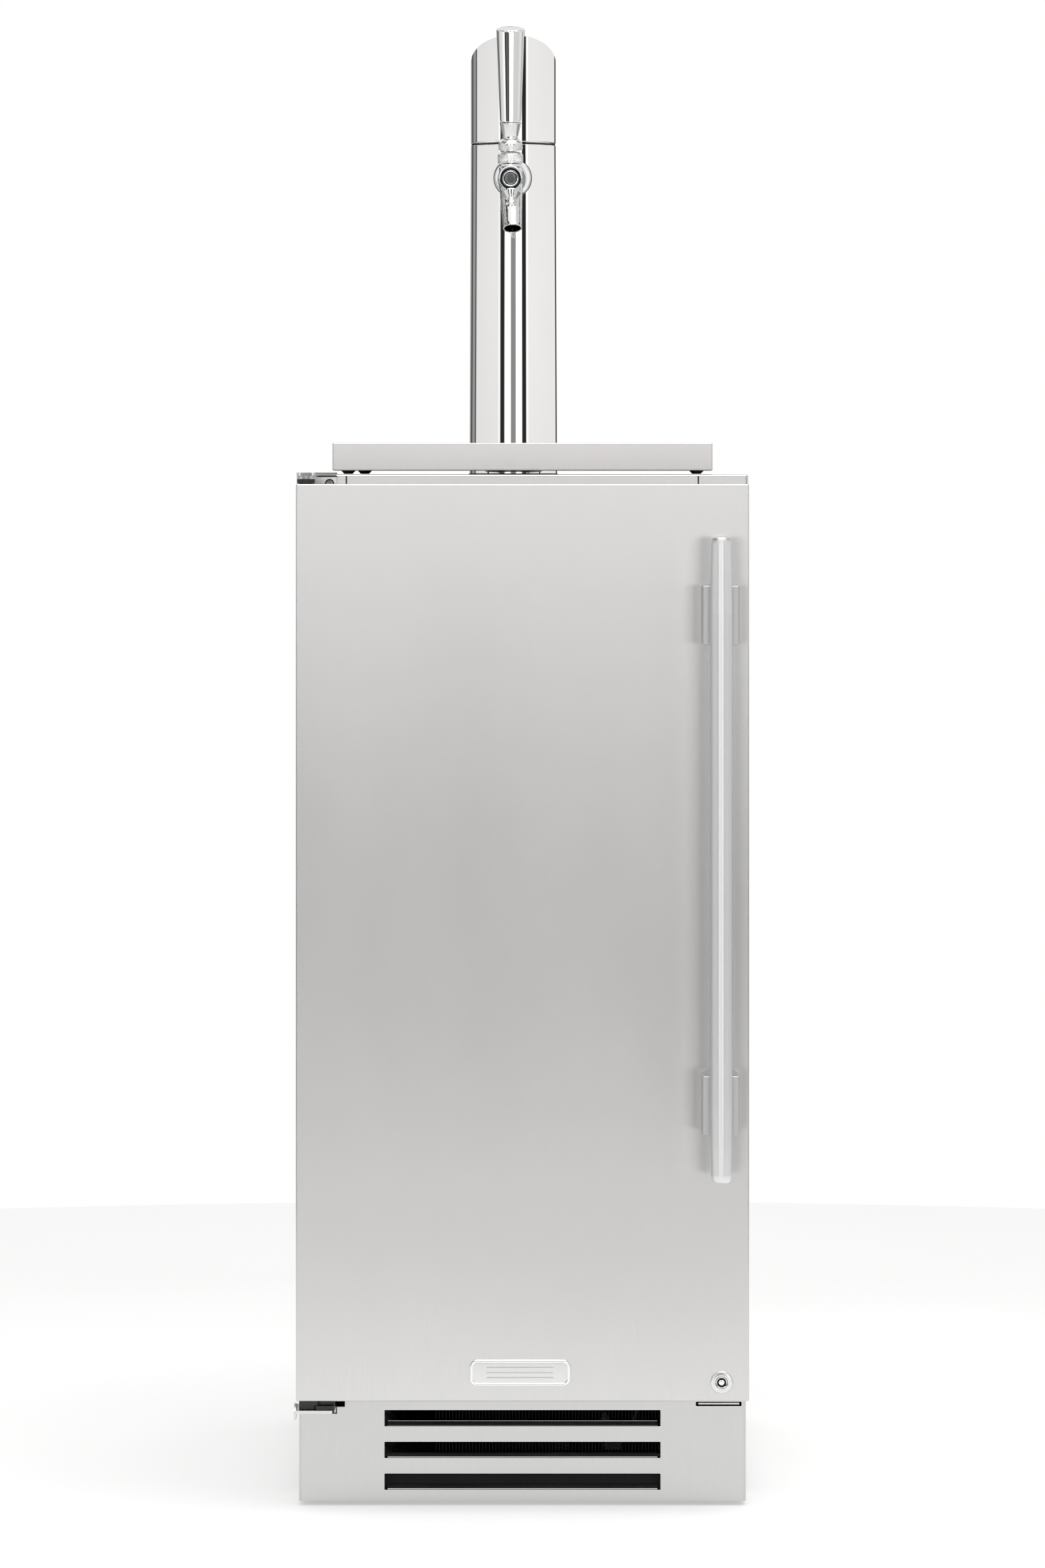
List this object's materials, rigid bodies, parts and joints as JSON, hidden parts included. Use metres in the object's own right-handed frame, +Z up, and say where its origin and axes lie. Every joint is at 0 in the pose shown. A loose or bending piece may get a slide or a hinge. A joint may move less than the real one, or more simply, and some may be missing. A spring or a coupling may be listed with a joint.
{
  "type": "kegerator",
  "caption": "Under-counter beer dispenser: stainless cabinet with a hinged door, pull handle, louvred kick grille, drip tray and a polished draught tower with a lever tap.",
  "frame": {"origin": "on the floor below the middle of the object", "axes": "+Z up, the door faces -Y, +X to the right of someone facing the door"},
  "size_m": [0.3808, 0.6823, 1.2511],
  "materials": {
    "stainless": "brushed",
    "polished_steel": "polished",
    "chrome": "polished",
    "satin_steel": "satin",
    "zinc_steel": "satin",
    "foam": "matte",
    "liner_steel": "satin",
    "black_plastic": "matte",
    "rubber": "matte",
    "black_paint": "gloss",
    "aluminium": "satin",
    "brass": "satin",
    "tubing": "gloss"
  },
  "bodies": {
    "cabinet": {"outer_shell": "stainless", "foam_jacket": "foam", "inner_liner": "liner_steel", "breaker_collar": "black_plastic", "base_pan": "black_paint", "rear_cover": "zinc_steel", "top_rail": "stainless", "corner_plate_left": "stainless", "corner_plate_right": "stainless", "kick_grille": "stainless", "top_hinge_bracket": "stainless", "bottom_hinge_bracket": "stainless", "hinge_closer": "black_plastic", "evaporator_coil": "aluminium", "evaporator_cover": "liner_steel", "condenser": "black_paint", "compressor": "black_paint", "power_inlet": "black_plastic", "control_housing": "black_plastic", "tower_column": "polished_steel", "tower_cap": "polished_steel", "tap_flange": "chrome", "tap_shank": "chrome", "tap_nut": "chrome", "faucet_body": "chrome", "faucet_bonnet": "chrome", "beer_line": "tubing", "gas_line": "tubing", "co2_cylinder": "aluminium", "regulator": "brass", "keg_coupler": "chrome", "coupler_hook": "stainless"},
    "door": {"door_skin": "stainless", "door_foam": "foam", "door_liner": "liner_steel", "door_gasket": "rubber", "door_bushing": "black_plastic", "handle_bar": "satin_steel", "handle_mount_upper": "satin_steel", "handle_mount_lower": "satin_steel", "badge": "chrome", "lock_housing": "chrome"},
    "lock": {"lock_barrel": "chrome"},
    "tap_lever": {"tap_lever": "chrome", "lever_collar": "chrome", "tap_handle": "chrome"},
    "plunger": {"tap_plunger": "black_plastic"},
    "tray": {"drip_tray": "stainless"},
    "grate": {"drip_grate": "stainless"},
    "evaporator_fan": {"evaporator_fan": "black_plastic"},
    "condenser_fan": {"condenser_fan": "black_plastic"},
    "handwheel": {"co2_handwheel": "black_plastic"},
    "regulator_knob": {"regulator_knob": "black_plastic"},
    "coupler_lever": {"coupler_lever": "black_plastic"},
    "down_button": {"temperature_down_button": "black_plastic"},
    "up_button": {"temperature_up_button": "black_plastic"},
    "foot_1": {"levelling_foot_1": "rubber"},
    "foot_2": {"levelling_foot_2": "rubber"},
    "foot_3": {"levelling_foot_3": "rubber"},
    "foot_4": {"levelling_foot_4": "rubber"}
  },
  "joints": [
    {"name": "door_hinge", "type": "hinge", "parent": "cabinet", "child": "door", "pos_m": [-0.181, -0.2635, 0.47], "axis": [0, 0, -1], "range_deg": [0, 110]},
    {"name": "lock_turn", "type": "hinge", "parent": "door", "child": "lock", "pos_m": [0.166, -0.28, 0.1098], "axis": [0, -1, 0], "range_deg": [0, 90]},
    {"name": "tap_lever_hinge", "type": "hinge", "parent": "cabinet", "child": "tap_lever", "pos_m": [-0.0103, -0.085, 1.138], "axis": [1, 0, 0], "range_deg": [0, 24]},
    {"name": "plunger_slide", "type": "slide", "parent": "cabinet", "child": "plunger", "axis": [0, 1, 0], "range_m": [0, 0.0075]},
    {"name": "drip_tray_lift", "type": "slide", "parent": "cabinet", "child": "tray", "axis": [0, 0, 1], "range_m": [0, 0.05]},
    {"name": "drip_grate_lift", "type": "slide", "parent": "tray", "child": "grate", "axis": [0, 0, 1], "range_m": [0, 0.03]},
    {"name": "fan_evaporator_spin", "type": "hinge", "parent": "cabinet", "child": "evaporator_fan", "pos_m": [0, 0.248, 0.774], "axis": [0, 1, 0], "continuous": true},
    {"name": "fan_condenser_spin", "type": "hinge", "parent": "cabinet", "child": "condenser_fan", "pos_m": [0.05, -0.17, 0.077], "axis": [0, 1, 0], "continuous": true},
    {"name": "gas_valve_turn", "type": "hinge", "parent": "cabinet", "child": "handwheel", "pos_m": [0.075, 0.165, 0.66], "axis": [0, 0, 1], "range_deg": [0, 360]},
    {"name": "gas_pressure_turn", "type": "hinge", "parent": "cabinet", "child": "regulator_knob", "pos_m": [0.075, 0.1, 0.634], "axis": [0, -1, 0], "range_deg": [0, 270]},
    {"name": "coupler_lever_hinge", "type": "hinge", "parent": "cabinet", "child": "coupler_lever", "pos_m": [-0.085, 0.15, 0.591], "axis": [1, 0, 0], "range_deg": [0, 50]},
    {"name": "press_down_button", "type": "slide", "parent": "cabinet", "child": "down_button", "axis": [0, 1, 0], "range_m": [0, 0.0015], "stiffness_N_per_m": 300, "springref_m": -0.0005},
    {"name": "press_up_button", "type": "slide", "parent": "cabinet", "child": "up_button", "axis": [0, 1, 0], "range_m": [0, 0.0015], "stiffness_N_per_m": 300, "springref_m": -0.0005},
    {"name": "level_foot_1", "type": "slide", "parent": "cabinet", "child": "foot_1", "axis": [0, 0, -1], "range_m": [0, 0.025]},
    {"name": "level_foot_2", "type": "slide", "parent": "cabinet", "child": "foot_2", "axis": [0, 0, -1], "range_m": [0, 0.025]},
    {"name": "level_foot_3", "type": "slide", "parent": "cabinet", "child": "foot_3", "axis": [0, 0, -1], "range_m": [0, 0.025]},
    {"name": "level_foot_4", "type": "slide", "parent": "cabinet", "child": "foot_4", "axis": [0, 0, -1], "range_m": [0, 0.025]}
  ],
  "couplings": [
    {"joint": "plunger_slide", "follows": "tap_lever_hinge", "m_per_rad": 0.0165}
  ]
}
